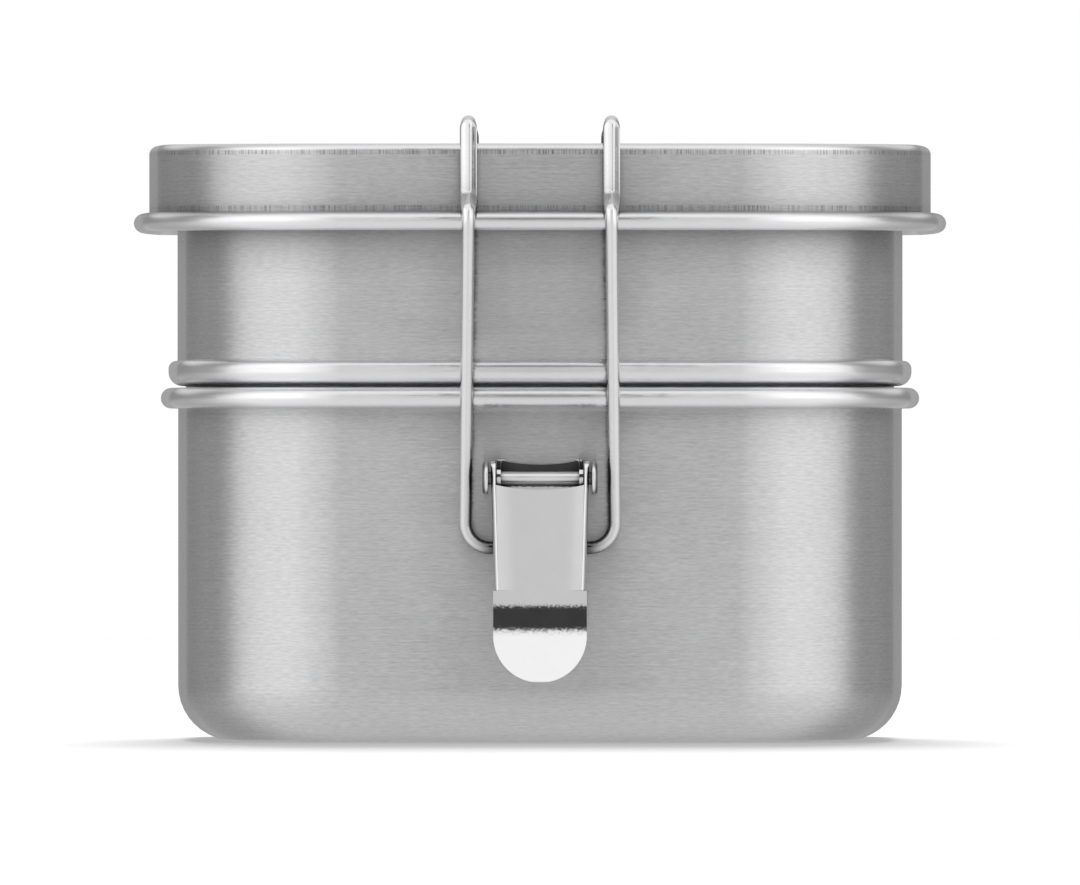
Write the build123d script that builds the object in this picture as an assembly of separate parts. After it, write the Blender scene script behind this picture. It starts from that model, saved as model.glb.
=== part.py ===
"""Two-tier stainless steel lunch box with two wire-bail latches.

Frame: origin at the centre of the underside, +Z up, +Y along the box, millimetres.
The front latch is on the short wall at -Y, the rear latch on the short wall at +Y.
The shells are drawn sheet. Each one is a section carried round the same bowed outline.
In a section, x is the distance outward from the base wall's outer face and y is height.
"""

from build123d import *
import os
from math import degrees

# plan outline of the base wall's outer face
HALF_WIDTH = 56.4
HALF_LENGTH = 78.0
CORNER_R = 26.0
BOW = 3.3  # how far the middle of each wall stands out from its sharp corners

# sheet and heights
SHEET = 0.5
HALF_SHEET = SHEET / 2
RIM_GAP = 0.3  # clearance between the base's rim and the tray's rib

# base container
BASE_TOP = 54.8
BASE_FLOOR_R = 8.25
RIM_CURL_R = 1.35
CURL_TURN = 300
FOOT_RISE = 0.8
FOOT_INNER = 15.5

# upper tray
TRAY_TOP = 91.5
TRAY_BOTTOM = 48.4
TRAY_FLOOR_R = 5.0
TRAY_STEP = 1.3  # how far the nested wall stands inside the base wall's outer face
TRAY_WALL_OUT = 0.1
RIB_OUT = 1.5
RIB_HEIGHT = 3.9

# lid
LID_TOP = 92.3
LID_WALL_OUT = 4.5
LID_EDGE_R = 0.95
BEAD_Z = 80.4
BEAD_CURL_R = 1.2
LID_BORDER = 13.0
LID_RECESS = 1.2

# latch axes, from the base wall's outer face
PIN_OUT, PIN_Z = 3.6, 40.8
BAIL_OUT, BAIL_Z = 2.4, 30.1
LATCH_SHEET = 0.6

# latch pin
PIN_R = 1.0
HEAD_R = 2.5
HEAD_T = 0.85
HEAD_ROUND = 0.6
HEAD_INNER_X = 8.0
FIT = 0.02  # hole over a shaft that stays put
RUN = 0.06  # hole over a shaft that turns

# latch bracket, spot welded to the wall
BRACKET_EAR_X = 6.35  # middle of each ear's thickness
BRACKET_LOW, BRACKET_TOP = 26.0, 43.7
BRACKET_NOSE_R = 1.85
BRACKET_EDGE, BRACKET_DIP = 43.4, 0.5  # the plate's top edge, lower than its ears
BRACKET_SWELL = 1.15  # how far the plate stands out below the pin, to lean back above it

# latch lever
LEVER_EAR_X = 7.3  # middle of each ear's thickness, at its top
LEVER_LEAN = 1.6  # degrees that each side leans in toward the tab
LEVER_PLATE = 5.8  # middle of the front plate's thickness
LEVER_BEND_R = 0.4
LEVER_CROWN, CROWN_RUN = 0.2, 2.2  # the plate falls away a little at its sides
CROWN_R = 20.0
LEVER_BACK = 0.7
LEVER_EAR_TOP = 43.8
LEVER_PLATE_TOP = 39.8
LEVER_DIP = 0.8
LEVER_SKIRT_LOW = 22.0
TAB_HALF = 7.2
TAB_END_Z = 9.4
TAB_OUT = 10.9
TAB_BEND_Z = 19.1  # where the tab's line would meet the plate's
TAB_BEND_R = 15.5

# wire bail and its flattened hooks
WIRE_R = 1.0
LEG_LOW_X, LEG_TOP_X = 11.55, 11.0
BAIL_CORNER_R = 3.9
LEG_TOP_OUT, LEG_TOP_Z = 8.45, 81.4
HOOK_HALF = 1.325
HOOK_T = 1.3
HOOK_OUT = 5.45  # middle of the strip against the lid wall
HOOK_FOOT_Z, HOOK_KNEE_Z = 82.3, 84.6
HOOK_ARCH_R = 1.45
HOOK_TOP = 96.6
TIP_GAP = 0.45


def outline():
    """Plan outline: four bowed walls joined by round corners, all of it arcs."""
    x, y = HALF_WIDTH - BOW, HALF_LENGTH - BOW
    walls = [
        ThreePointArc((-x, -y), (0, -HALF_LENGTH), (x, -y)),
        ThreePointArc((x, -y), (HALF_WIDTH, 0), (x, y)),
        ThreePointArc((x, y), (0, HALF_LENGTH), (-x, y)),
        ThreePointArc((-x, y), (-HALF_WIDTH, 0), (-x, -y)),
    ]
    sharp = make_face([wall.edge() for wall in walls])
    return fillet(sharp.vertices(), CORNER_R)


def carry_round(section):
    """Carry a section round the outline, one revolved piece for each arc."""
    ring = Part()
    for arc in outline().edges():
        centre, start, end = arc.arc_center, arc @ 0, arc @ 1
        if (start - centre).cross(end - centre).Z < 0:
            start, end = end, start
        outward = (start - centre).normalized()
        plane = Plane(origin=start, x_dir=outward, z_dir=outward.cross(Vector(0, 0, 1)))
        turn = degrees(arc.length / arc.radius)
        ring += revolve(plane * section, Axis(centre, (0, 0, 1)), turn)
    return ring


def drawn_shell(path, floor_reach, floor_z):
    """Drawn sheet shell: its section's middle line, and the flat that fills its middle."""
    flat = offset(outline(), floor_reach + 1.0)
    panel = extrude(Pos(0, 0, floor_z - HALF_SHEET) * flat, SHEET)
    return carry_round(trace(path, SHEET)) + panel


def joined(*lines):
    """One wire from lines that meet end to end."""
    return Wire([edge for line in lines for edge in line.edges()])


def base_container():
    """Deep tub on a shallow foot ring, its rim rolled outward."""
    wall = -HALF_SHEET
    curl_z = BASE_TOP - RIM_CURL_R - HALF_SHEET
    reach = -FOOT_INNER - 6
    profile = FilletPolyline(
        (reach, FOOT_RISE + HALF_SHEET),
        (-FOOT_INNER - 2, FOOT_RISE + HALF_SHEET),
        (-FOOT_INNER, HALF_SHEET),
        (wall, HALF_SHEET),
        (wall, curl_z),
        radius=[0.8, 0.8, BASE_FLOOR_R],
    )
    curl = CenterArc((wall + RIM_CURL_R, curl_z), RIM_CURL_R, 180, -CURL_TURN)
    return drawn_shell(joined(profile, curl), reach, FOOT_RISE + HALF_SHEET)


def upper_tray():
    """Tray that nests in the base's mouth, with a rib that rests on the base's rim."""
    low_wall = -TRAY_STEP - HALF_SHEET
    high_wall = TRAY_WALL_OUT - HALF_SHEET
    rib_low = BASE_TOP + RIM_GAP + HALF_SHEET
    rib_high = rib_low + RIB_HEIGHT - SHEET
    rib_out = RIB_OUT - HALF_SHEET
    curl_z = TRAY_TOP - RIM_CURL_R - HALF_SHEET
    reach = low_wall - TRAY_FLOOR_R - 4
    profile = FilletPolyline(
        (reach, TRAY_BOTTOM + HALF_SHEET),
        (low_wall, TRAY_BOTTOM + HALF_SHEET),
        (low_wall, rib_low),
        (rib_out, rib_low),
        (rib_out, rib_high),
        (high_wall, rib_high),
        (high_wall, curl_z),
        radius=[TRAY_FLOOR_R, 0.6, 1.9, 0.95, 0.4],
    )
    curl = CenterArc((high_wall + RIM_CURL_R, curl_z), RIM_CURL_R, 180, -CURL_TURN)
    return drawn_shell(joined(profile, curl), reach, TRAY_BOTTOM + HALF_SHEET)


def lid():
    """Deep-rimmed lid with a sunk centre panel and a bead rolled at its lower edge."""
    wall = LID_WALL_OUT - HALF_SHEET
    border_in = LID_WALL_OUT - LID_BORDER
    panel_z = LID_TOP - LID_RECESS - HALF_SHEET
    reach = border_in - 6
    profile = FilletPolyline(
        (reach, panel_z),
        (border_in - 1.5, panel_z),
        (border_in, LID_TOP - HALF_SHEET),
        (wall, LID_TOP - HALF_SHEET),
        (wall, BEAD_Z),
        radius=[0.8, 0.8, LID_EDGE_R],
    )
    curl = CenterArc((wall + BEAD_CURL_R, BEAD_Z), BEAD_CURL_R, 180, CURL_TURN)
    return drawn_shell(joined(profile, curl), reach, panel_z)


def at_wall(x, out, z):
    """Place of a latch point, given its distance outward from the front wall."""
    return (x, -HALF_LENGTH - out, z)


def side_plane(x):
    """Plane across the latch at x: local x outward from the front wall, local y up."""
    return Plane(origin=at_wall(x, 0, 0), x_dir=(0, -1, 0), z_dir=(-1, 0, 0))


def side_extrusion(sketch, half_width):
    """Solid with the given side view, as wide as the latch piece needs."""
    return extrude(side_plane(0) * sketch, half_width, both=True)


def front_plane():
    """Plane in the wall's face: local x to the right, local y up."""
    return Plane(origin=at_wall(0, 0, 0), x_dir=(1, 0, 0), z_dir=(0, -1, 0))


def channel(side, radii, low, high):
    """Upright U of latch sheet, from the (across, out) corners of one of its sides."""
    left = [(-x, -out) for x, out in side]
    right = [(x, -out) for x, out in reversed(side)]
    path = FilletPolyline(*left, *right, radius=[*radii, *reversed(radii)])
    section = Pos(0, -HALF_LENGTH, low) * trace(path, LATCH_SHEET)
    return extrude(section, high - low)


def round_ended(half_width, end_z, reach):
    """Front view of a strip with a round end; reach is positive where it runs upward."""
    side = 1 if reach > 0 else -1
    centre = end_z + side * half_width
    strip = Pos(0, centre + reach / 2) * Rectangle(2 * half_width, abs(reach))
    return Pos(0, centre) * Circle(half_width) + strip


def cross_rod(out, z, radius, half_width):
    """Round rod or hole across the latch."""
    return side_extrusion(Pos(out, z) * Circle(radius), half_width)


def dished_top(half_width, edge_z, dip, out_low, out_high):
    """Block above an edge that dips to its middle, for cutting a latch sheet's top."""
    sag = ThreePointArc((-half_width, edge_z), (0, edge_z - dip), (half_width, edge_z))
    sides = Polyline(
        (half_width, edge_z),
        (half_width, edge_z + 10),
        (-half_width, edge_z + 10),
        (-half_width, edge_z),
    )
    block = extrude(front_plane() * make_face([*sag.edges(), *sides.edges()]), out_high)
    keep = extrude(front_plane() * Pos(0, edge_z) * Rectangle(60, 60), out_low)
    return block - keep


def latch_bracket():
    """Plate on the wall with two ears that carry the pin."""
    half = BRACKET_EAR_X
    body = channel([(half, 8), (half, LATCH_SHEET / 2)], [0.5], BRACKET_LOW, BRACKET_TOP)
    nose = Pos(PIN_OUT, PIN_Z) * Circle(BRACKET_NOSE_R)
    top = Line((-1, BRACKET_TOP), (PIN_OUT - 0.4, BRACKET_TOP))
    root = Line((-1, BRACKET_TOP), (-1, PIN_Z - 4.5))
    ear = make_hull([*nose.edges(), *top.edges(), *root.edges()])
    plate = Pos((LATCH_SHEET - 1) / 2, (BRACKET_LOW + BRACKET_TOP) / 2) * Rectangle(
        LATCH_SHEET + 1, BRACKET_TOP - BRACKET_LOW
    )
    body &= side_extrusion(ear + plate, 2 * half)
    front = LATCH_SHEET + BRACKET_SWELL
    swell = Polyline(
        (LATCH_SHEET / 2, PIN_Z - 7),
        (LATCH_SHEET, PIN_Z - 7),
        (front, PIN_Z - 3),
        (LATCH_SHEET, BRACKET_EDGE),
        (LATCH_SHEET / 2, BRACKET_EDGE),
        close=True,
    )
    body += side_extrusion(make_face(swell.edges()), half)
    body -= dished_top(half - 1, BRACKET_EDGE, BRACKET_DIP, -2, LATCH_SHEET + 0.5)
    body -= cross_rod(PIN_OUT, PIN_Z, PIN_R + FIT, 2 * half)
    inside = extrude(outline(), BRACKET_TOP + 10)
    return body - inside


def latch_lever():
    """Lever: front plate, two flanges on the pin and the wire, and a finger tab."""
    half = LEVER_EAR_X
    front = LEVER_PLATE + LATCH_SHEET / 2
    low = LEVER_SKIRT_LOW
    side = [(half, 0), (half, LEVER_PLATE - LEVER_CROWN), (half - CROWN_RUN, LEVER_PLATE)]
    upright = channel(side, [LEVER_BEND_R, CROWN_R], low - 1, LEVER_EAR_TOP + 1)
    pivot = Axis(at_wall(half + LATCH_SHEET / 2, 0, LEVER_EAR_TOP), (0, 1, 0))
    right = upright.rotate(pivot, LEVER_LEAN)
    right &= Pos(half * 2, -HALF_LENGTH, low) * Box(half * 4, 40, 80)
    body = right + mirror(right, Plane.YZ)
    corners = Polyline(
        (front, low),
        (front, LEVER_EAR_TOP),
        (LEVER_BACK, LEVER_EAR_TOP),
        (LEVER_BACK, BAIL_Z - 1.5),
        (front - 1.6, low),
        close=True,
    )
    face = make_face(corners.edges())
    face = fillet(face.vertices().filter_by(lambda v: v.Y > PIN_Z), 2.5)
    face = fillet(face.vertices().filter_by(lambda v: BAIL_Z - 2 < v.Y < BAIL_Z), 1.6)
    body &= side_extrusion(face, 2 * half)
    window = half - LATCH_SHEET / 2 - 0.15
    body -= dished_top(window, LEVER_PLATE_TOP, LEVER_DIP, PIN_OUT, front + 2)
    bend = FilletPolyline(
        (LEVER_PLATE, low + 1.5),
        (LEVER_PLATE, TAB_BEND_Z),
        (TAB_OUT, TAB_END_Z),
        radius=TAB_BEND_R,
    )
    tab = side_extrusion(trace(bend, LATCH_SHEET), TAB_HALF)
    tab &= extrude(front_plane() * round_ended(TAB_HALF, TAB_END_Z, 30), 20)
    lever = body + tab
    for out, z in ((PIN_OUT, PIN_Z), (BAIL_OUT, BAIL_Z)):
        lever -= cross_rod(out, z, PIN_R + RUN, 2 * half)
    return lever


def disc(inner_x, outer_x, radius):
    """Disc on the pin's axis between two places across the latch."""
    flat = side_plane(outer_x) * Pos(PIN_OUT, PIN_Z) * Circle(radius)
    return extrude(flat, outer_x - inner_x)


def latch_pin():
    """Pin through both pairs of ears, with one flat head."""
    outer = HEAD_INNER_X + HEAD_T
    head = disc(HEAD_INNER_X, outer, HEAD_R)
    head = fillet(head.edges().sort_by(Axis.X)[-1], HEAD_ROUND)
    return head + disc(-outer, HEAD_INNER_X, PIN_R)


def pin_cap():
    """Disc pressed on the pin's plain end."""
    outer = HEAD_INNER_X + HEAD_T
    cap = disc(-outer, -HEAD_INNER_X, HEAD_R)
    cap = fillet(cap.edges().sort_by(Axis.X)[0], HEAD_ROUND)
    return cap - cross_rod(PIN_OUT, PIN_Z, PIN_R + FIT, 2 * outer)


def hook(x):
    """Flattened wire end: it steps in over the lid's bead and hooks over its top."""
    arch_z = HOOK_TOP - HOOK_T / 2 - HOOK_ARCH_R
    tip_out = HOOK_OUT - 2 * HOOK_ARCH_R
    leg = FilletPolyline(
        (LEG_TOP_OUT - 0.12, LEG_TOP_Z - 1.0),
        (LEG_TOP_OUT, HOOK_FOOT_Z),
        (HOOK_OUT, HOOK_KNEE_Z),
        (HOOK_OUT, arch_z),
        radius=[0.9, 1.2],
    )
    arch = CenterArc((tip_out + HOOK_ARCH_R, arch_z), HOOK_ARCH_R, 0, 180)
    tip = Line((tip_out, arch_z), (tip_out, LID_TOP + TIP_GAP))
    strip = side_extrusion(trace(joined(leg, arch, tip), HOOK_T), HOOK_HALF)
    face = round_ended(HOOK_HALF, HOOK_TOP, -30)
    return Pos(x, 0, 0) * (strip & extrude(front_plane() * face, 20))


def bail_wire():
    """Wire bail: a cross bar in the lever, two legs, and a hook on each."""
    path = FilletPolyline(
        at_wall(LEG_TOP_X, LEG_TOP_OUT, LEG_TOP_Z),
        at_wall(LEG_LOW_X, BAIL_OUT, BAIL_Z),
        at_wall(-LEG_LOW_X, BAIL_OUT, BAIL_Z),
        at_wall(-LEG_TOP_X, LEG_TOP_OUT, LEG_TOP_Z),
        radius=BAIL_CORNER_R,
    )
    start = Plane(origin=path @ 0, z_dir=path % 0)
    wire = sweep(start * Circle(WIRE_R), path=path)
    return wire + hook(LEG_TOP_X) + hook(-LEG_TOP_X)


LATCH_PIECES = {
    "latch_bracket": latch_bracket,
    "latch_lever": latch_lever,
    "latch_pin": latch_pin,
    "pin_cap": pin_cap,
    "bail_wire": bail_wire,
}


def main():
    """Make every piece and write one file for each."""
    pieces = {"base_container": base_container(), "upper_tray": upper_tray(), "lid": lid()}
    for name, make in LATCH_PIECES.items():
        piece = make()
        pieces["front_" + name] = piece
        pieces["rear_" + name] = Rot(0, 0, 180) * piece
    os.makedirs("parts", exist_ok=True)
    for name, piece in pieces.items():
        export_step(piece, f"parts/{name}.step")
        print(name, len(piece.solids()), round(piece.volume), piece.bounding_box())


main()
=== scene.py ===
"""Looks of a two-tier stainless lunch box with two wire-bail latches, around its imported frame."""

import math

import bmesh
import bpy
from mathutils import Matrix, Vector


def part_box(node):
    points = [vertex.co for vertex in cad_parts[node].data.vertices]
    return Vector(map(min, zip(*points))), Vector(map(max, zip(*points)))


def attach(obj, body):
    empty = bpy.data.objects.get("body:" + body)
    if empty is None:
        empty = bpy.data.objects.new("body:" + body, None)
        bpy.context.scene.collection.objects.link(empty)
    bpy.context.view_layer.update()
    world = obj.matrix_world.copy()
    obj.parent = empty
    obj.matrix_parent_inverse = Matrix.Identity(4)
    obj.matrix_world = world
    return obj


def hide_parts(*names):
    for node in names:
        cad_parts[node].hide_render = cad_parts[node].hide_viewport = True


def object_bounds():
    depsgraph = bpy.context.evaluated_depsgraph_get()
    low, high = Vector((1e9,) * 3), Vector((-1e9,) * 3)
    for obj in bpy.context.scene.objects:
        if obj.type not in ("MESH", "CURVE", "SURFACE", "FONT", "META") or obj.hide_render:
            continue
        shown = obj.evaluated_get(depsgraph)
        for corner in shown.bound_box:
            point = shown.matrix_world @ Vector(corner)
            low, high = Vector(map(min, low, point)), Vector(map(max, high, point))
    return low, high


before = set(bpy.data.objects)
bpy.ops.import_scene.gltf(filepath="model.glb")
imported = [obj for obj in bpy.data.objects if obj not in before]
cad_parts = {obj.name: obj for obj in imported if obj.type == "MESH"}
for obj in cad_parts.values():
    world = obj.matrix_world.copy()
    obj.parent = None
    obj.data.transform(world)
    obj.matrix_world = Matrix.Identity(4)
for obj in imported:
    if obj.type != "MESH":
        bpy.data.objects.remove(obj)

MM = 0.001
CAD_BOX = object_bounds()

# the drawn shells: outline of the base wall's outer face, and sheet sections measured from it
SHEET = 0.5 * MM
RIM_OUT = 2.7 * MM
CORNER_R = 26.0 * MM
BOW = 3.3 * MM
RIM_CURL_R = 1.35 * MM
CURL_TURN = 300
FOOT_RISE = 0.8 * MM
FOOT_INNER = 15.5 * MM
BASE_FLOOR_R = 8.25 * MM
TRAY_STEP = 1.3 * MM
TRAY_WALL_OUT = 0.1 * MM
TRAY_FLOOR_R = 5.0 * MM
RIB_OUT = 1.5 * MM
RIB_HEIGHT = 3.9 * MM
RIB_GAP = 0.3 * MM
LID_WALL_OUT = 4.5 * MM
LID_EDGE_R = 0.95 * MM
BEAD_CURL_R = 1.2 * MM
LID_BORDER = 13.0 * MM
LID_RECESS = 1.2 * MM
PANEL_BEND_R = 0.8 * MM  # bends from the foot ring and the lid's border to the flat panel
FOOT_STEP, LID_STEP = 2 * MM, 1.5 * MM  # how far inward each of those slopes runs
PANEL_RUN, TRAY_PANEL_RUN = 6 * MM, 4 * MM  # flat part of the section inside its last bend
RIB_ROOT_R, RIB_LOW_R, RIB_HIGH_R, NECK_R = 0.6 * MM, 1.9 * MM, 0.95 * MM, 0.4 * MM
PANEL_RINGS = (0.02, 0.2, 0.4, 0.6, 0.8, 0.93)  # the panel's rings, as shares of its outline
LONGEST_STEP = 2.5 * MM
FLAT_TILT = 0.8  # upright share of the normal above which the brushing runs straight across

# where each shell's rolled edges begin, and the width over which their polish fades in
FAR = 20 * MM
RIM_ROLL, RIB_ROLL, BEAD_ROLL = 3.4 * MM, 0.1 * MM, 2.6 * MM
LID_EDGE_ROLL_OUT, LID_EDGE_ROLL_Z = 1.2 * MM, 1.05 * MM
POLISH_EDGE = 0.15 * MM

BASE_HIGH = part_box("base_container")[1]
TRAY_LOW, TRAY_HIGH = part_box("upper_tray")
LID_LOW, LID_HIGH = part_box("lid")
HALF_WIDTH = BASE_HIGH.x - RIM_OUT
HALF_LENGTH = BASE_HIGH.y - RIM_OUT

# the wire bail, measured outward from the wall and up from the floor
WIRE_R = 1.0 * MM
BAIL_OUT, BAIL_Z = 2.4 * MM, 30.1 * MM
LEG_LOW_X, LEG_TOP_X = 11.55 * MM, 11.0 * MM
LEG_TOP_OUT, LEG_TOP_Z = 8.45 * MM, 82.1 * MM
HOOK_OUT, HOOK_KNEE_Z = 5.45 * MM, 84.6 * MM
HOOK_ARCH_R = 1.45 * MM
HOOK_HALF = 1.325 * MM
HOOK_T = 1.3 * MM
HOOK_NARROWING = 0.6  # the flattened strip's loss of width at the top of its arch
RIDGE_X, RIDGE_LEFT, RIDGE_RIGHT = 0.35 * MM, 0.21, 1.05
STRIP_POWER, CROWN_POWER = 2.9, 0.8  # roundness of the strip's section, and its loss at the arch
STRIP_EDGE = 0.3 * MM
TIP_GAP, TIP_ROUND = 0.45 * MM, 0.3 * MM
BAIL_CORNER_R = 3.9 * MM
ARCH_SHARE = 0.999  # keeps the two bends of the arch from meeting
HOOK_BEND_R = 1.7 * MM
FLATTEN_RUN = 2.0 * MM  # round wire turns to strip over this much below its top bend
WIRE_SIDES, WIRE_TURN_STEP, WIRE_STEP = 44, 7.5, 2.0 * MM
# size and reach, in mm, of the rings that close the wire's end
END_CAP = ((0.93, 0.14), (0.78, 0.24), (0.5, 0.29), (0.2, 0.3))

# body and edge rounding of each latch piece
LATCH_PIECES = {
    "latch_bracket": ("base", 0.12 * MM),
    "latch_lever": ("{end}_lever", 0.25 * MM),
    "latch_pin": ("base", 0.1 * MM),
    "pin_cap": ("base", 0.1 * MM),
}
SAME_POINT = 1e-7
SAME_PLANE = math.radians(0.3)
SHARP = math.radians(35)
EDGE_STEPS = 3

# steel: cells per metre along and across the brushing, detail, and offset of the seed
FINE, LONG_LINES = (650, 4800, 2.0, 0), (60, 3200, 3.0, 5)
STROKES, CLOUD = (300, 4200, 2.0, 13), (30, 60, 2.0, 9)
MARK_GRAIN, MARK_SPREAD = (4500, 60, 1.0, 20), (160, 40, 1.0, 30)
SEED_SKEW = 1.7
NOISE_ROUGHNESS = 0.6
SHELL_TONE, SHELL_SEED = 0.68, 3.0
LID_TONE, LID_SEED = 0.66, 41.0
FINE_SHARE, LINE_SHARE = 0.6, 0.4
LINE_DEPTH, CLOUD_DEPTH, MARK_DEPTH, ROLLED_DEPTH = 0.44, 0.03, 0.5, 0.08
ROLLED_TONE = 0.92
BRUSHED_TINT = (1.0, 1.0, 1.012)
BRUSHED_ROUGHNESS, LINE_ROUGHNESS, ROLLED_ROUGHNESS = 0.24, 0.10, -0.08
LINE_BUMP, LINE_HEIGHT, WAVE_HEIGHT = 0.10, 0.02 * MM, 0.3 * MM
SWAY = 0.07  # sideways lean of the brushing's short strokes
# reach within which nearby surfaces paint shade into the brushed steel's colour
CREVICE = 9 * MM
# share of the painted shade in the steel's crevices by height in mm
CREVICE_SHADE_SHARE = (
    (0, 0), (4, 0), (12, 0.45), (44, 0.45), (50, 1), (54, 1), (56, 0), (60, 0), (66, 1), (95, 1),
)
CREVICE_SPAN = 95
OPEN_SAMPLES = 6

# press marks: middle height of each band and reach above and below it, in mm
MARK_BANDS = ((91.1, 0.45), (82.3, 0.5))
MARK_TILT = 0.6  # upright share of the normal below which a face is wall and can be marked
MARK_LIGHT, MARK_DARK = 0.50, 0.62
MARK_SPREAD_DEPTH, MARK_LEAST = 1.2, 0.1

# polished steels: tone, roughness, ripple, the reach and levels of their painted shade near other
# pieces, and the painted shade on their sideways faces
SHEET_STEEL = (0.92, 0.06, 0.10, (3 * MM, 0.3, 0.85), 0.55)
PIN_STEEL = (0.88, 0.36, 0.0, (3 * MM, 0.3, 0.85), 0.75)
WIRE_STEEL = (0.88, 0.06, 0.0, (40 * MM, 0.76, 0.9), 0.0)
HAZE_SCALE, HAZE_DETAIL, HAZE_DEPTH = 350.0, 4.0, 0.06
PEEL_SCALE, PEEL_DETAIL, PEEL_HEIGHT = 2600.0, 2.0, 0.003 * MM
DEEP_SHADE_TONE = 0.12  # what is left of the polished steel's tone under the painted shade deep between pieces
SIDE_START, SIDE_FULL = 0.2, 0.6  # sideways share of the normal where the painted shade on side faces starts and ends
POLISHED_TINT = (1.0, 0.995, 1.0)

CAMERA_DISTANCE = 6.0
CAMERA_HEIGHT = 46.3 * MM
PICTURE_WIDTH = 168.4 * MM
SENSOR = 36.0
CLIP_SHARE = 4
FLOOR_RADIUS, FLOOR_SIDES = 3.0, 96
FLOOR_TONE, FLOOR_ROUGHNESS, FLOOR_GLOW = 0.25, 0.9, 0.32
# degrees from overhead of each light behind the box, and the brightness it adds to the floor
BACK_LIGHTS = ((28, 0.08), (42, 0.14), (54, 0.18), (66, 0.2))
BACK_LIGHT_ANGLE = math.radians(20)

# the surround's brightness by degrees round from the front: at the horizon, below and above it
LEVEL = (
    (0, 0.74), (8, 0.82), (16, 1.04), (30, 1.29), (45, 1.5), (62, 1.46), (76, 1.32), (88, 1.02),
    (97, 0.6), (108, 0.4), (120, 0.37), (138, 0.33), (155, 0.32), (180, 0.5),
)
LOW = ((0, 0.88), (30, 1.0), (70, 1.05), (90, 0.9), (110, 0.65), (150, 0.5), (180, 0.6))
HIGH = ((0, 1.2), (70, 1.2), (95, 0.9), (115, 0.75), (150, 0.5), (180, 0.42))
UNDER, ZENITH, BACKDROP = 0.9, 1.0, 0.85
# share that each of those takes, by degrees up from straight down or round from the front
LOW_SHARE = ((0, 1), (81, 1), (88, 0), (180, 0))
HIGH_SHARE = ((0, 0), (128, 0), (140, 1), (180, 1))
UNDER_SHARE = ((0, 1), (20, 1), (50, 0), (180, 0))
ZENITH_SHARE = ((0, 0), (164, 0), (177, 1), (180, 1))
BACKDROP_RISE = ((0, 0), (98, 0), (112, 1), (180, 1))
BACKDROP_TURN = ((0, 0), (110, 0), (150, 1), (180, 1))
FLAG_RISE = ((0, 0), (100, 0), (106, 0.93), (128, 0.93), (136, 0), (180, 0))
FLAG_TURN = ((0, 1), (3, 1), (5.5, 0), (180, 0))
HALF_TURN, BRIGHTEST = 180, 2.0
NO_TURN = 1e-4  # least sideways reach of a direction, so that straight up has a turn


# ---------------------------------------------------------------- paths and outlines


def rounded_path(corners, radii, step=10.0):
    """Points and directions along a polyline whose corners are rounded, in any dimension."""
    corners = [Vector(c) for c in corners]
    samples = [(corners[0], (corners[1] - corners[0]).normalized())]
    for before, corner, after, radius in zip(corners, corners[1:], corners[2:], radii):
        a, b = (corner - before).normalized(), (after - corner).normalized()
        turn = a.angle(b)
        cut = radius * math.tan(turn / 2)
        start = corner - a * cut
        across = (b - a * a.dot(b)).normalized()
        steps = max(3, math.ceil(math.degrees(turn) / step))
        for i in range(steps + 1):
            t = turn * i / steps
            point = start + a * radius * math.sin(t) + across * radius * (1 - math.cos(t))
            samples.append((point, a * math.cos(t) + across * math.sin(t)))
    samples.append((corners[-1], (corners[-1] - corners[-2]).normalized()))
    return samples


def curled(samples, radius, turn, step=12.0):
    """A flat path carried on round a curl; a positive turn is to the left."""
    start, way = samples[-1]
    side = math.copysign(1, turn)
    left = Vector((-way.y, way.x)) * side
    steps = math.ceil(abs(turn) / step)
    for i in range(1, steps + 1):
        t = math.radians(abs(turn)) * i / steps
        point = start + way * radius * math.sin(t) + left * radius * (1 - math.cos(t))
        samples.append((point, way * math.cos(t) + left * math.sin(t)))
    return samples


def wall_arc_radius(half_chord):
    """Radius of a wall that bows out by BOW over the chord between its sharp corners."""
    return (half_chord**2 + BOW**2) / (2 * BOW)


def outline(wall_steps=14, corner_steps=22):
    """Points, outward directions and lengths round the base wall, from the rear's middle."""
    end_r = wall_arc_radius(HALF_WIDTH - BOW)
    side_r = wall_arc_radius(HALF_LENGTH - BOW)
    end_y, side_x = HALF_LENGTH - end_r, HALF_WIDTH - side_r
    # the corner's centre is inside both wall arcs by the corner's radius
    gap = Vector((side_x, -end_y))
    near, far = end_r - CORNER_R, side_r - CORNER_R
    span = gap.length
    along = (near**2 - far**2 + span**2) / (2 * span)
    off = math.sqrt(near**2 - along**2)
    unit = gap / span
    corner = Vector((0, end_y)) + unit * along + Vector((unit.y, -unit.x)) * off
    end_turn = math.atan2(corner.x, corner.y - end_y)
    side_turn = math.atan2(corner.y, corner.x - side_x)
    quarter = []
    for i in range(wall_steps):
        t = math.pi / 2 - end_turn * i / wall_steps
        quarter.append((Vector((0, end_y)), end_r, t))
    for i in range(corner_steps):
        t0, t1 = math.pi / 2 - end_turn, side_turn
        quarter.append((corner, CORNER_R, t0 + (t1 - t0) * i / corner_steps))
    for i in range(wall_steps + 1):
        t = side_turn * (1 - i / wall_steps)
        quarter.append((Vector((side_x, 0)), side_r, t))
    points = []
    for centre, radius, t in quarter:
        normal = Vector((math.cos(t), math.sin(t)))
        points.append((centre + normal * radius, normal))
    flips = ((1, 1), (1, -1), (-1, -1), (-1, 1))
    ring = []
    for n, (sx, sy) in enumerate(flips):
        part = points[:-1] if n % 2 == 0 else points[:0:-1]
        ring += [(Vector((p.x * sx, p.y * sy)), Vector((d.x * sx, d.y * sy))) for p, d in part]
    lengths, total = [0.0], 0.0
    for (p, _), (q, _) in zip(ring, ring[1:] + ring[:1]):
        total += (q - p).length
        lengths.append(total)
    return ring, lengths


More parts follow.
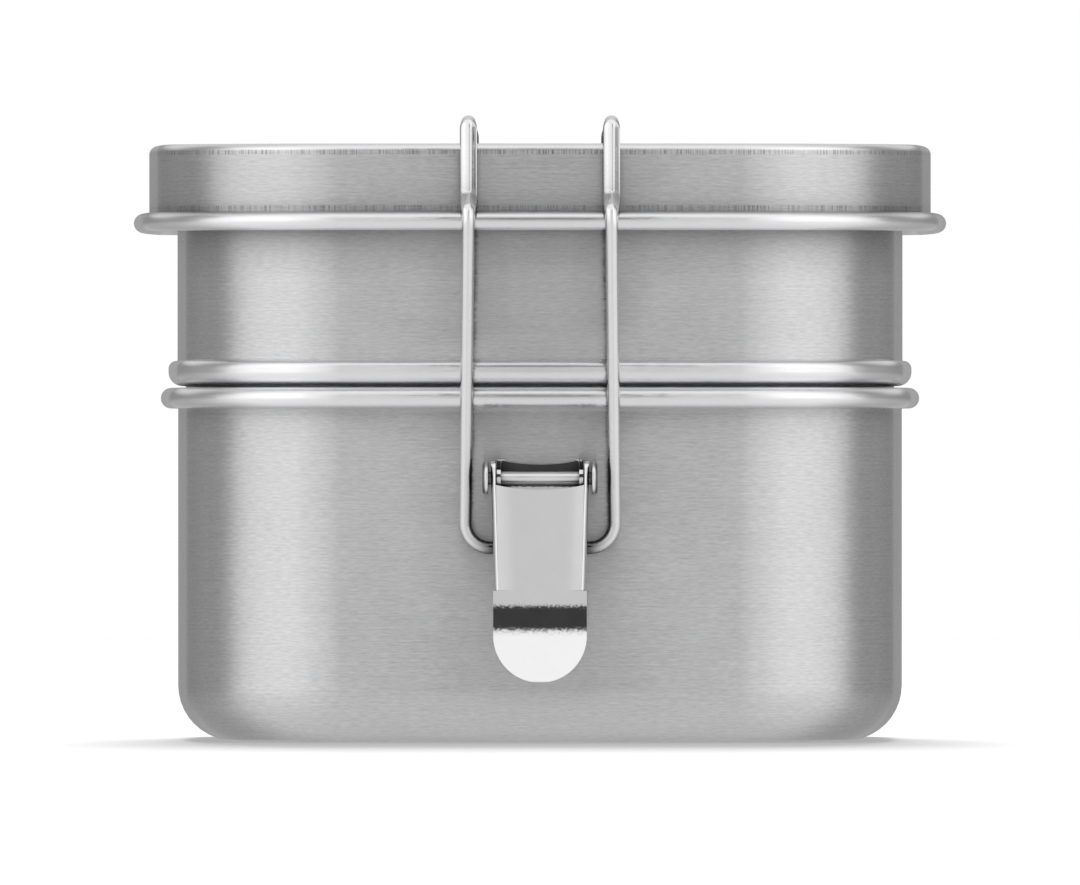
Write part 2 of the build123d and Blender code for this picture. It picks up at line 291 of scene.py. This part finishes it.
def sheet_section(samples):
    """Both faces of a sheet from its middle line: position, normal and panel scale of each row.

    The middle line starts at the rim of the flat centre panel, which closes both faces.
    """
    half = SHEET / 2
    sides = []
    for sign in (1, -1):
        rows = []
        for point, way in samples:
            normal = Vector((-way.y, way.x)) * sign
            rows.append((point + normal * half, normal, 1.0))
        sides.append(rows)
    end, way = samples[-1]
    cap = []
    for degrees in (45, 90, 135):
        t = math.radians(degrees)
        normal = Vector((-way.y, way.x)) * math.cos(t) + way * math.sin(t)
        cap.append((end + normal * half, normal, 1.0))
    front, back = sides
    panel_front = [(front[0][0], front[0][1], f) for f in PANEL_RINGS]
    panel_back = [(back[0][0], back[0][1], f) for f in reversed(PANEL_RINGS)]
    return panel_front + front + cap + back[::-1] + panel_back


def new_object(name, mesh):
    """An object for a finished mesh."""
    made = bpy.data.objects.new(name, mesh)
    bpy.context.scene.collection.objects.link(made)
    return made


def shell(name, samples, polished):
    """Drawn shell: the sheet section carried round the outline, with exact normals.

    Polished holds boxes of the section plane, (out, z) to (out, z), rolled to a smoother face.
    """
    ring, lengths = outline()
    rows = sheet_section(divided(samples, LONGEST_STEP))
    count = len(ring)
    verts, normals = [], []
    for (place, normal, scale) in rows:
        for point, out in ring:
            flat = (point + out * place.x) * scale
            verts.append((flat.x, flat.y, place.y))
            level = Vector((out.x * normal.x, out.y * normal.x, normal.y))
            normals.append(level.normalized())
    faces = [tuple(range(count))]
    travel = [0.0]
    for (a, _, sa), (b, _, sb) in zip(rows, rows[1:]):
        travel.append(travel[-1] + (b - a).length + abs(sa - sb) * HALF_WIDTH)
    grid = []
    for r in range(len(rows) - 1):
        for c in range(count):
            d = (c + 1) % count
            faces.append((r * count + c, (r + 1) * count + c, (r + 1) * count + d, r * count + d))
            grid.append((r, c))
    last = (len(rows) - 1) * count
    faces.append(tuple(last + c for c in reversed(range(count))))
    mesh = bpy.data.meshes.new(name)
    mesh.from_pydata(verts, [], faces)
    flip = signed_volume(mesh) < 0
    layer = mesh.uv_layers.new(name="brushing")
    for polygon in mesh.polygons:
        n = polygon.index - 1
        walled = 0 <= n < len(grid)
        if walled:
            r, c = grid[n]
            tilt = abs(rows[r][1].y + rows[r + 1][1].y) / 2
            walled = tilt < FLAT_TILT or rows[r][0].x > -TRAY_FLOOR_R
        for k, loop in enumerate(polygon.loop_indices):
            vertex = mesh.vertices[mesh.loops[loop].vertex_index].co
            if walled:
                row = r if k in (0, 3) else r + 1
                column = c if k in (0, 1) else c + 1
                layer.data[loop].uv = (lengths[column], travel[row])
            else:
                layer.data[loop].uv = (vertex.x, vertex.y)
    shine = mesh.attributes.new("polish", "FLOAT", "POINT")
    for r, (place, _, _) in enumerate(rows):
        value = max(smooth(inside(place, low, high) / POLISH_EDGE) for low, high in polished)
        for c in range(count):
            shine.data[r * count + c].value = value
    if flip:
        mesh.flip_normals()
    mesh.shade_smooth()
    mesh.normals_split_custom_set_from_vertices(normals)
    mesh.validate()
    return new_object(name, mesh)


def inside(place, low, high):
    """Distance of a point inside a box of the section plane, negative outside."""
    return min(place.x - low[0], place.y - low[1], high[0] - place.x, high[1] - place.y)


def signed_volume(mesh):
    """Volume of a closed mesh, negative where its faces look inward."""
    total = 0.0
    for polygon in mesh.polygons:
        corners = [mesh.vertices[v].co for v in polygon.vertices]
        for a, b in zip(corners[1:], corners[2:]):
            total += corners[0].dot(a.cross(b)) / 6
    return total


# ---------------------------------------------------------------- the three shells


def base_samples():
    """Middle line of the base's sheet: floor, foot ring, wall and rolled rim."""
    wall = -SHEET / 2
    curl_z = BASE_HIGH.z - RIM_CURL_R - SHEET / 2
    floor = FOOT_RISE + SHEET / 2
    path = rounded_path(
        [
            (-FOOT_INNER - PANEL_RUN, floor),
            (-FOOT_INNER - FOOT_STEP, floor),
            (-FOOT_INNER, SHEET / 2),
            (wall, SHEET / 2),
            (wall, curl_z),
        ],
        [PANEL_BEND_R, PANEL_BEND_R, BASE_FLOOR_R],
    )
    return curled(path, RIM_CURL_R, -CURL_TURN)


def tray_samples():
    """Middle line of the tray's sheet: floor, nested wall, rib, upper wall and rolled rim."""
    low_wall = -TRAY_STEP - SHEET / 2
    high_wall = TRAY_WALL_OUT - SHEET / 2
    rib_low = BASE_HIGH.z + RIB_GAP + SHEET / 2
    rib_high = rib_low + RIB_HEIGHT - SHEET
    rib_out = RIB_OUT - SHEET / 2
    floor = TRAY_LOW.z + SHEET / 2
    curl_z = TRAY_HIGH.z - RIM_CURL_R - SHEET / 2
    path = rounded_path(
        [
            (low_wall - TRAY_FLOOR_R - TRAY_PANEL_RUN, floor),
            (low_wall, floor),
            (low_wall, rib_low),
            (rib_out, rib_low),
            (rib_out, rib_high),
            (high_wall, rib_high),
            (high_wall, curl_z),
        ],
        [TRAY_FLOOR_R, RIB_ROOT_R, RIB_LOW_R, RIB_HIGH_R, NECK_R],
    )
    return curled(path, RIM_CURL_R, -CURL_TURN)


def lid_samples():
    """Middle line of the lid's sheet: recess, border, wall and rolled bead."""
    wall = LID_WALL_OUT - SHEET / 2
    border_in = LID_WALL_OUT - LID_BORDER
    top = LID_HIGH.z - SHEET / 2
    panel = top - LID_RECESS
    bead_z = LID_LOW.z + BEAD_CURL_R + SHEET / 2
    path = rounded_path(
        [
            (border_in - PANEL_RUN, panel),
            (border_in - LID_STEP, panel),
            (border_in, top),
            (wall, top),
            (wall, bead_z),
        ],
        [PANEL_BEND_R, PANEL_BEND_R, LID_EDGE_R],
    )
    return curled(path, BEAD_CURL_R, CURL_TURN)


# ---------------------------------------------------------------- the wire bails


def strip_point(t, half, crown):
    """Point of the hook's section: flat at the back, two facets meeting at a ridge in front.

    Crown goes from 0 to 1 as the facets soften into a dome over the top of the arch.
    """
    c, s = math.cos(t), math.sin(t)
    power = STRIP_POWER - CROWN_POWER * crown
    x = math.copysign(abs(c) ** (2 / power), c) * half
    slope = (RIDGE_RIGHT if x > RIDGE_X else RIDGE_LEFT) * (1 - crown)
    back = -HOOK_T / 2
    edge = back + STRIP_EDGE
    far = HOOK_T / 2 - abs(x - RIDGE_X) * slope if s > 0 else back
    return x, edge + (far - edge) * abs(s) ** (2 / power)


def smooth(t):
    """Smooth step from 0 to 1."""
    t = min(1.0, max(0.0, t))
    return t * t * (3 - 2 * t)


def bail(name, way):
    """Wire bail: round wire in its lower part, flattened and domed where it hooks the lid."""
    top = CAD_BOX[1].z - HOOK_T / 2
    tip = HOOK_OUT - 2 * HOOK_ARCH_R

    def place(x, out, z):
        return (x, way * (HALF_LENGTH + out), z)

    half_path = [
        place(LEG_TOP_X, tip, LID_HIGH.z + TIP_GAP + TIP_ROUND),
        place(LEG_TOP_X, tip, top),
        place(LEG_TOP_X, HOOK_OUT, top),
        place(LEG_TOP_X, HOOK_OUT, HOOK_KNEE_Z),
        place(LEG_TOP_X, LEG_TOP_OUT, LEG_TOP_Z),
        place(LEG_LOW_X, BAIL_OUT, BAIL_Z),
    ]
    other = [(-x, y, z) for x, y, z in reversed(half_path)]
    arch = HOOK_ARCH_R * ARCH_SHARE
    radii = [arch, arch, HOOK_BEND_R, HOOK_BEND_R, BAIL_CORNER_R]
    samples = rounded_path(half_path + other, radii + radii[::-1], step=WIRE_TURN_STEP)
    samples = divided(samples, WIRE_STEP)

    flatten_low, flatten_high = LEG_TOP_Z - FLATTEN_RUN, HOOK_KNEE_Z
    arch_low = top - HOOK_ARCH_R

    across = Vector((1, 0, 0))
    loops = []
    before = samples[0][1]
    for point, heading in samples:
        across = before.rotation_difference(heading) @ across
        across = (across - heading * across.dot(heading)).normalized()
        before = heading
        up = across.cross(heading) * way
        hand = math.copysign(1, point.x)
        flat = smooth((point.z - flatten_low) / (flatten_high - flatten_low))
        climb = min(1.0, max(0.0, (point.z - arch_low) / HOOK_ARCH_R))
        half = HOOK_HALF * math.sqrt(1 - (HOOK_NARROWING * climb) ** 2)
        loop = []
        for k in range(WIRE_SIDES):
            t = 2 * math.pi * k / WIRE_SIDES
            x, y = strip_point(t if hand > 0 else math.pi - t, half, smooth(climb))
            strip = (hand * x, y)
            wire = (WIRE_R * math.cos(t), WIRE_R * math.sin(t))
            x, y = (a + (b - a) * flat for a, b in zip(wire, strip))
            loop.append(point + across * x + up * y)
        loops.append(loop)
    return wire_mesh(name, loops)


def divided(samples, longest):
    """Extra samples on the straight runs, none further apart than longest."""
    out = [samples[0]]
    for (p, a), (q, b) in zip(samples, samples[1:]):
        steps = max(1, math.ceil((q - p).length / longest))
        for i in range(1, steps):
            out.append((p.lerp(q, i / steps), a.lerp(b, i / steps).normalized()))
        out.append((q, b))
    return out


def wire_mesh(name, loops):
    """Closed tube through loops of points, with softly rounded ends."""
    sides = WIRE_SIDES

    def end_cap(loop, nearer):
        middle = sum(loop, Vector()) / sides
        inner = sum(nearer, Vector()) / sides
        out = (middle - inner).normalized()
        return [
            [middle + (v - middle) * scale + out * push * MM for v in loop]
            for scale, push in END_CAP
        ]

    loops = end_cap(loops[0], loops[1])[::-1] + loops + end_cap(loops[-1], loops[-2])
    faces = []
    for r in range(len(loops) - 1):
        for k in range(sides):
            n = (k + 1) % sides
            low, high = r * sides, (r + 1) * sides
            faces.append((low + k, low + n, high + n, high + k))
    last = (len(loops) - 1) * sides
    faces.append(tuple(reversed(range(sides))))
    faces.append(tuple(range(last, last + sides)))
    mesh = bpy.data.meshes.new(name)
    mesh.from_pydata([v for loop in loops for v in loop], [], faces)
    if signed_volume(mesh) < 0:
        mesh.flip_normals()
    mesh.shade_smooth()
    return new_object(name, mesh)


# ---------------------------------------------------------------- the pressed latch pieces


def rounded_copy(name, node, radius):
    """A CAD piece's mesh again, with its sharp edges rounded over."""
    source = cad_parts[node]
    shape = bmesh.new()
    shape.from_mesh(source.data)
    shape.transform(source.matrix_world)
    bmesh.ops.remove_doubles(shape, verts=shape.verts, dist=SAME_POINT)
    bmesh.ops.dissolve_limit(
        shape, angle_limit=SAME_PLANE, verts=shape.verts, edges=shape.edges
    )
    sharp = [e for e in shape.edges if len(e.link_faces) == 2 and e.calc_face_angle() > SHARP]
    bmesh.ops.bevel(
        shape, geom=sharp, offset=radius, segments=EDGE_STEPS, profile=0.5, affect="EDGES",
        clamp_overlap=True,
    )
    normals = []
    for vert in shape.verts:
        lean = sum((face.normal * face.calc_area() for face in vert.link_faces), Vector())
        normals.append(lean.normalized())
    mesh = bpy.data.meshes.new(name)
    shape.to_mesh(mesh)
    shape.free()
    mesh.shade_smooth()
    mesh.normals_split_custom_set_from_vertices(normals)
    return new_object(name, mesh)


# ---------------------------------------------------------------- materials


class Nodes:
    """Short calls for building a node tree."""

    def __init__(self, tree):
        self.tree = tree
        tree.nodes.clear()

    def add(self, kind, **settings):
        node = self.tree.nodes.new(kind)
        for key, value in settings.items():
            setattr(node, key, value)
        return node

    def set(self, node, **values):
        for key, value in values.items():
            node.inputs[key.replace("_", " ")].default_value = value
        return node

    def link(self, a, out, b, into):
        self.tree.links.new(a.outputs[out], b.inputs[into])

    def feed(self, source, node, into):
        """Link from a bare output socket."""
        self.tree.links.new(source, node.inputs[into])

    def step(self, source, low, high, at_low=0.0, at_high=1.0):
        """Smooth step of a value, from at_low at low to at_high at high."""
        node = self.add("ShaderNodeMapRange", interpolation_type="SMOOTHSTEP")
        self.set(node, From_Min=low, From_Max=high, To_Min=at_low, To_Max=at_high)
        self.feed(source, node, "Value")
        return node.outputs[0]

    def normal(self, axis):
        """How far the face points along an axis of the object, either way."""
        facing = self.add("ShaderNodeSeparateXYZ")
        self.feed(self.add("ShaderNodeTexCoord").outputs["Normal"], facing, 0)
        return self.math("ABSOLUTE", facing.outputs[axis])

    def open_share(self, reach):
        """Share of the surroundings that nothing stands in within reach."""
        node = self.add("ShaderNodeAmbientOcclusion", samples=OPEN_SAMPLES)
        self.set(node, Distance=reach)
        return node.outputs["AO"]

    def tinted(self, value, tint):
        """Colour of a grey value with a share for each channel."""
        node = self.add("ShaderNodeCombineColor")
        for channel, share in zip(("Red", "Green", "Blue"), tint):
            self.feed(self.math("MULTIPLY", value, share), node, channel)
        return node

    def finish(self, shader):
        output = self.add("ShaderNodeOutputMaterial")
        self.link(shader, "BSDF", output, "Surface")

    def math(self, operation, *sources):
        node = self.add("ShaderNodeMath", operation=operation)
        for n, source in enumerate(sources):
            if isinstance(source, (int, float)):
                node.inputs[n].default_value = source
            else:
                self.feed(source, node, n)
        return node.outputs[0]

    def curve(self, source, span, stops, height):
        """Smooth curve through (place, value) stops, over 0 to span and 0 to height."""
        node = self.add("ShaderNodeFloatCurve")
        curve = node.mapping.curves[0]
        while len(curve.points) < len(stops):
            curve.points.new(0.5, 0.5)
        for point, (at, value) in zip(curve.points, stops):
            point.location = (at / span, value / height)
            point.handle_type = "AUTO_CLAMPED"
        node.mapping.update()
        scaled = self.math("DIVIDE", source, float(span))
        self.feed(scaled, node, "Value")
        return self.math("MULTIPLY", node.outputs[0], float(height))


def streaks(n, coordinates, pattern, seed):
    """Noise drawn out along the brushing.

    A pattern is cells per metre along and across, detail and the offset of its seed.
    """
    along, across, detail, offset = pattern
    seed += offset
    mapping = n.add("ShaderNodeMapping")
    n.set(mapping, Scale=(along, across, 1), Location=(seed, seed * SEED_SKEW, 0))
    n.feed(coordinates, mapping, "Vector")
    noise = n.add("ShaderNodeTexNoise", noise_dimensions="2D")
    n.set(noise, Scale=1.0, Detail=detail, Roughness=NOISE_ROUGHNESS)
    n.link(mapping, "Vector", noise, "Vector")
    return noise.outputs["Fac"]


def brushed_steel(name, tone, seed, pressed=False):
    """Satin stainless sheet, brushed along the walls, its rolled edges bright and smoother, with
    painted shade darkening its colour in crevices.

    Pressed adds the short upright marks that the drawing dies leave at the ends of its wall.
    """
    material = bpy.data.materials.new(name)
    material.use_nodes = True
    n = Nodes(material.node_tree)
    uv = n.add("ShaderNodeUVMap", uv_map="brushing").outputs["UV"]
    fine, long_lines, strokes, cloud = (
        streaks(n, uv, pattern, seed) for pattern in (FINE, LONG_LINES, STROKES, CLOUD)
    )
    polish = n.add("ShaderNodeAttribute", attribute_name="polish").outputs["Fac"]
    lines = n.math(
        "ADD",
        n.math("MULTIPLY", fine, FINE_SHARE),
        n.math("MULTIPLY", long_lines, LINE_SHARE),
    )
    value = n.math("MULTIPLY_ADD", lines, LINE_DEPTH, tone - LINE_DEPTH / 2)
    value = n.math("MULTIPLY_ADD", n.math("SUBTRACT", cloud, 0.5), CLOUD_DEPTH, value)
    height = lines
    if pressed:
        marks = press_marks(n, uv, seed)
        value = n.math("MULTIPLY", value, n.math("MULTIPLY_ADD", marks, -MARK_DEPTH, 1.0))
        height = n.math("SUBTRACT", lines, marks)
    bright = n.math("MULTIPLY_ADD", lines, ROLLED_DEPTH, ROLLED_TONE - ROLLED_DEPTH / 2)
    value = n.math("ADD", value, n.math("MULTIPLY", polish, n.math("SUBTRACT", bright, value)))
    # painted shade: the colour is darkened where the occlusion test finds surfaces near, scaled by
    # height and left off the polished edges
    share = n.curve(height_of_place(n), CREVICE_SPAN, CREVICE_SHADE_SHARE, 1.0)
    shade = n.math("MULTIPLY", n.math("SUBTRACT", 1.0, n.open_share(CREVICE)), share)
    shade = n.math("MULTIPLY", shade, n.math("SUBTRACT", 1.0, polish))
    value = n.math("MULTIPLY", value, n.math("SUBTRACT", 1.0, shade))
    shader = n.add("ShaderNodeBsdfPrincipled")
    n.set(shader, Metallic=1.0, Anisotropic=1.0, Anisotropic_Rotation=0.25)
    n.link(n.tinted(value, BRUSHED_TINT), "Color", shader, "Base Color")
    rough = n.math("MULTIPLY_ADD", long_lines, LINE_ROUGHNESS, BRUSHED_ROUGHNESS)
    rough = n.math("MULTIPLY_ADD", polish, ROLLED_ROUGHNESS, rough)
    n.feed(rough, shader, "Roughness")
    tangent = n.add("ShaderNodeTangent", direction_type="UV_MAP", uv_map="brushing")
    n.link(tangent, "Tangent", shader, "Tangent")
    waves = n.add("ShaderNodeBump")
    n.set(waves, Distance=WAVE_HEIGHT)
    n.feed(cloud, waves, "Height")
    bump = n.add("ShaderNodeBump")
    n.set(bump, Strength=LINE_BUMP, Distance=LINE_HEIGHT)
    n.feed(height, bump, "Height")
    n.link(waves, "Normal", bump, "Normal")
    # each short stroke leans the face a little along the brushing
    aside = n.add("ShaderNodeVectorMath", operation="SCALE")
    n.link(tangent, "Tangent", aside, 0)
    n.feed(n.math("MULTIPLY", n.math("SUBTRACT", strokes, 0.5), SWAY), aside, "Scale")
    leaning = n.add("ShaderNodeVectorMath", operation="ADD")
    n.link(bump, "Normal", leaning, 0)
    n.link(aside, "Vector", leaning, 1)
    level = n.add("ShaderNodeVectorMath", operation="NORMALIZE")
    n.link(leaning, "Vector", level, 0)
    n.link(level, "Vector", shader, "Normal")
    n.finish(shader)
    return material


def height_of_place(n):
    """Height of the shaded place above the floor, in mm."""
    place = n.add("ShaderNodeSeparateXYZ")
    n.feed(n.add("ShaderNodeTexCoord").outputs["Object"], place, 0)
    return n.math("MULTIPLY", place.outputs["Z"], 1 / MM)


def press_marks(n, uv, seed):
    """Short upright marks in two bands of the lid's wall: under its edge and over its bead."""
    grain = streaks(n, uv, MARK_GRAIN, seed)
    spread = streaks(n, uv, MARK_SPREAD, seed)
    height = height_of_place(n)
    total = 0.0
    for middle, reach in MARK_BANDS:
        away = n.math("ABSOLUTE", n.math("SUBTRACT", height, middle))
        total = n.math("ADD", total, n.math("LESS_THAN", away, reach))
    total = n.math("MULTIPLY", total, n.math("LESS_THAN", n.normal("Z"), MARK_TILT))
    dark = n.step(grain, MARK_LIGHT, MARK_DARK)
    some = n.math("MULTIPLY_ADD", spread, MARK_SPREAD_DEPTH, MARK_LEAST)
    return n.math("MULTIPLY", n.math("MULTIPLY", dark, some), total)


def polished_steel(name, tone, roughness, ripple, near_shade, side_shade):
    """Bright polished sheet or wire, with a soft haze and a fine ripple.

    Ripple is the upright lean of the face. The argument after it holds how near other pieces darken
    it with painted shade, and the open share of its surroundings at which that shade is darkest and
    at which it is clear.
    The last argument is the painted shade that faces pointing sideways take off the tone.
    """
    material = bpy.data.materials.new(name)
    material.use_nodes = True
    n = Nodes(material.node_tree)
    place = n.add("ShaderNodeTexCoord").outputs["Object"]
    haze = n.add("ShaderNodeTexNoise")
    n.set(haze, Scale=HAZE_SCALE, Detail=HAZE_DETAIL, Roughness=NOISE_ROUGHNESS)
    n.feed(place, haze, "Vector")
    peel = n.add("ShaderNodeTexNoise")
    n.set(peel, Scale=PEEL_SCALE, Detail=PEEL_DETAIL, Roughness=NOISE_ROUGHNESS)
    n.feed(place, peel, "Vector")
    value = n.math("MULTIPLY_ADD", haze.outputs["Fac"], HAZE_DEPTH, tone - HAZE_DEPTH / 2)
    # painted shade: the colour darkens where the occlusion test finds other pieces near
    reach, closed, clear = near_shade
    lit = n.step(n.open_share(reach), closed, clear, at_low=DEEP_SHADE_TONE)
    value = n.math("MULTIPLY", value, lit)
    # painted shade: faces that point sideways along the object's x lose some of their tone
    side = n.step(n.normal("X"), SIDE_START, SIDE_FULL, at_low=1.0, at_high=1.0 - side_shade)
    value = n.math("MULTIPLY", value, side)
    shader = n.add("ShaderNodeBsdfPrincipled")
    n.set(shader, Metallic=1.0)
    n.link(n.tinted(value, POLISHED_TINT), "Color", shader, "Base Color")
    rough = n.math("MULTIPLY_ADD", haze.outputs["Fac"], roughness, roughness / 2)
    n.feed(rough, shader, "Roughness")
    bump = n.add("ShaderNodeBump")
    n.set(bump, Distance=PEEL_HEIGHT)
    n.link(peel, "Fac", bump, "Height")
    upright = n.add("ShaderNodeCombineXYZ")
    lean = n.math("MULTIPLY", n.math("SUBTRACT", peel.outputs["Fac"], 0.5), ripple)
    n.feed(lean, upright, "Z")
    level = n.add("ShaderNodeVectorMath", operation="ADD")
    n.link(bump, "Normal", level, 0)
    n.link(upright, "Vector", level, 1)
    n.link(level, "Vector", shader, "Normal")
    n.finish(shader)
    return material


def floor_material():
    """Plain matt floor with a little light of its own."""
    material = bpy.data.materials.new("floor")
    material.use_nodes = True
    shader = material.node_tree.nodes["Principled BSDF"]
    shader.inputs["Base Color"].default_value = (FLOOR_TONE, FLOOR_TONE, FLOOR_TONE, 1)
    shader.inputs["Roughness"].default_value = FLOOR_ROUGHNESS
    shader.inputs["Specular IOR Level"].default_value = 0.0
    shader.inputs["Emission Color"].default_value = (1, 1, 1, 1)
    shader.inputs["Emission Strength"].default_value = FLOOR_GLOW
    return material


# ---------------------------------------------------------------- pieces


def add_piece(piece, material, body, node):
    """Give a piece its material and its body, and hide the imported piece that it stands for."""
    piece.data.materials.append(material)
    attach(piece, body)
    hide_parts(node)


def build_box():
    """The base, the tray and the lid."""
    steel = brushed_steel("shell_steel", SHELL_TONE, SHELL_SEED)
    lid_steel = brushed_steel("lid_steel", LID_TONE, LID_SEED, pressed=True)
    rib = BASE_HIGH.z + RIB_GAP
    above = 9 * FAR
    rolls = {
        "base": [((-FAR, BASE_HIGH.z - RIM_ROLL), (FAR, above))],
        "tray": [((-FAR, rib - MM), (FAR, rib + RIB_HEIGHT + RIB_ROLL))],
        "lid": [
            ((-FAR, -FAR), (FAR, LID_LOW.z + BEAD_ROLL)),
            ((LID_WALL_OUT - LID_EDGE_ROLL_OUT, LID_HIGH.z - LID_EDGE_ROLL_Z), (FAR, above)),
        ],
    }
    base = shell("base_shell", base_samples(), rolls["base"])
    tray = shell("tray_shell", tray_samples(), rolls["tray"])
    lid = shell("lid_shell", lid_samples(), rolls["lid"])
    add_piece(base, steel, "base", "base_container")
    add_piece(tray, steel, "tray", "upper_tray")
    add_piece(lid, lid_steel, "lid", "lid")


def build_latches():
    """The pieces of the front and rear latches."""
    sheet = polished_steel("latch_steel", *SHEET_STEEL)
    pin = polished_steel("pin_steel", *PIN_STEEL)
    wire = polished_steel("wire_steel", *WIRE_STEEL)
    for end, way in (("front", -1), ("rear", 1)):
        for piece, (body, radius) in LATCH_PIECES.items():
            node = f"{end}_{piece}"
            copy = rounded_copy(f"{node}_rounded", node, radius)
            steel = pin if piece in ("latch_pin", "pin_cap") else sheet
            add_piece(copy, steel, body.format(end=end), node)
        add_piece(bail(f"{end}_bail", way), wire, f"{end}_bail", f"{end}_bail_wire")


# ---------------------------------------------------------------- studio


def build_floor():
    """Round floor that takes shadows but isn't reflected in the steel."""
    mesh = bpy.data.meshes.new("floor")
    shape = bmesh.new()
    bmesh.ops.create_circle(shape, cap_ends=True, segments=FLOOR_SIDES, radius=FLOOR_RADIUS)
    shape.to_mesh(mesh)
    shape.free()
    floor = new_object("floor", mesh)
    floor.data.materials.append(floor_material())
    floor.visible_glossy = False
    floor.visible_shadow = False


def build_world():
    """Soft studio surround, its brightness set by direction round and above the box.

    At the horizon it is paler in front, brightest on the front flanks and dark behind, with
    a pale backdrop over the dark part. A narrow dark flag hangs over the camera, and a bright
    ceiling covers the front half. The camera itself sees plain white.
    """
    world = bpy.data.worlds.new("studio")
    bpy.context.scene.world = world
    world.use_nodes = True
    n = Nodes(world.node_tree)
    way = n.add("ShaderNodeTexCoord").outputs["Generated"]
    split = n.add("ShaderNodeSeparateXYZ")
    n.feed(way, split, 0)
    x, y, z = split.outputs
    level = n.math("SQRT", n.math("ADD", n.math("POWER", x, 2.0), n.math("POWER", y, 2.0)))
    facing = n.math("DIVIDE", n.math("MULTIPLY", y, -1.0), n.math("MAXIMUM", level, NO_TURN))
    turn = n.math("MULTIPLY", n.math("ARCCOSINE", facing), HALF_TURN / math.pi)
    tilt = n.math("MULTIPLY_ADD", n.math("ARCSINE", z), HALF_TURN / math.pi, HALF_TURN / 2)

    def toward(light, other, share):
        return n.math("ADD", light, n.math("MULTIPLY", share, n.math("SUBTRACT", other, light)))

    def by(angle, stops, height=1.0):
        return n.curve(angle, HALF_TURN, stops, height)

    flag = n.math("MULTIPLY", by(tilt, FLAG_RISE), by(turn, FLAG_TURN))
    backdrop = n.math("MULTIPLY", by(tilt, BACKDROP_RISE), by(turn, BACKDROP_TURN))
    light = by(turn, LEVEL, BRIGHTEST)
    light = toward(light, by(turn, LOW, BRIGHTEST), by(tilt, LOW_SHARE))
    light = toward(light, 0.0, flag)
    light = toward(light, by(turn, HIGH, BRIGHTEST), by(tilt, HIGH_SHARE))
    light = toward(light, BACKDROP, backdrop)
    light = toward(light, UNDER, by(tilt, UNDER_SHARE))
    light = toward(light, ZENITH, by(tilt, ZENITH_SHARE))
    soft = n.add("ShaderNodeBackground")
    n.feed(light, soft, "Strength")
    plain = n.add("ShaderNodeBackground")
    plain.inputs["Color"].default_value = (1, 1, 1, 1)
    seen = n.add("ShaderNodeLightPath").outputs["Is Camera Ray"]
    choose = n.add("ShaderNodeMixShader")
    n.feed(seen, choose, 0)
    n.link(soft, "Background", choose, 1)
    n.link(plain, "Background", choose, 2)
    output = n.add("ShaderNodeOutputWorld")
    n.link(choose, "Shader", output, "Surface")


def build_back_lights():
    """Lights for the floor, one over another behind the box, whose shadows fade forward."""
    for lean, share in BACK_LIGHTS:
        data = bpy.data.lights.new("back_light", "SUN")
        data.energy = share * math.pi / (FLOOR_TONE * math.cos(math.radians(lean)))
        data.angle = BACK_LIGHT_ANGLE
        light = bpy.data.objects.new("back_light", data)
        light.visible_glossy = False
        light.rotation_euler = (math.radians(-lean), 0, 0)
        bpy.context.scene.collection.objects.link(light)


def build_camera():
    """Level camera with a long lens, straight in front of the short wall."""
    data = bpy.data.cameras.new("camera")
    data.sensor_width = SENSOR
    data.lens = SENSOR * CAMERA_DISTANCE / PICTURE_WIDTH
    data.clip_end = CLIP_SHARE * CAMERA_DISTANCE
    camera = bpy.data.objects.new("camera", data)
    camera.location = (0, -CAMERA_DISTANCE, CAMERA_HEIGHT)
    camera.rotation_euler = (math.pi / 2, 0, 0)
    bpy.context.scene.collection.objects.link(camera)
    bpy.context.scene.camera = camera


build_box()
build_latches()
build_floor()
build_world()
build_back_lights()
build_camera()
bpy.context.scene.view_settings.view_transform = "Standard"
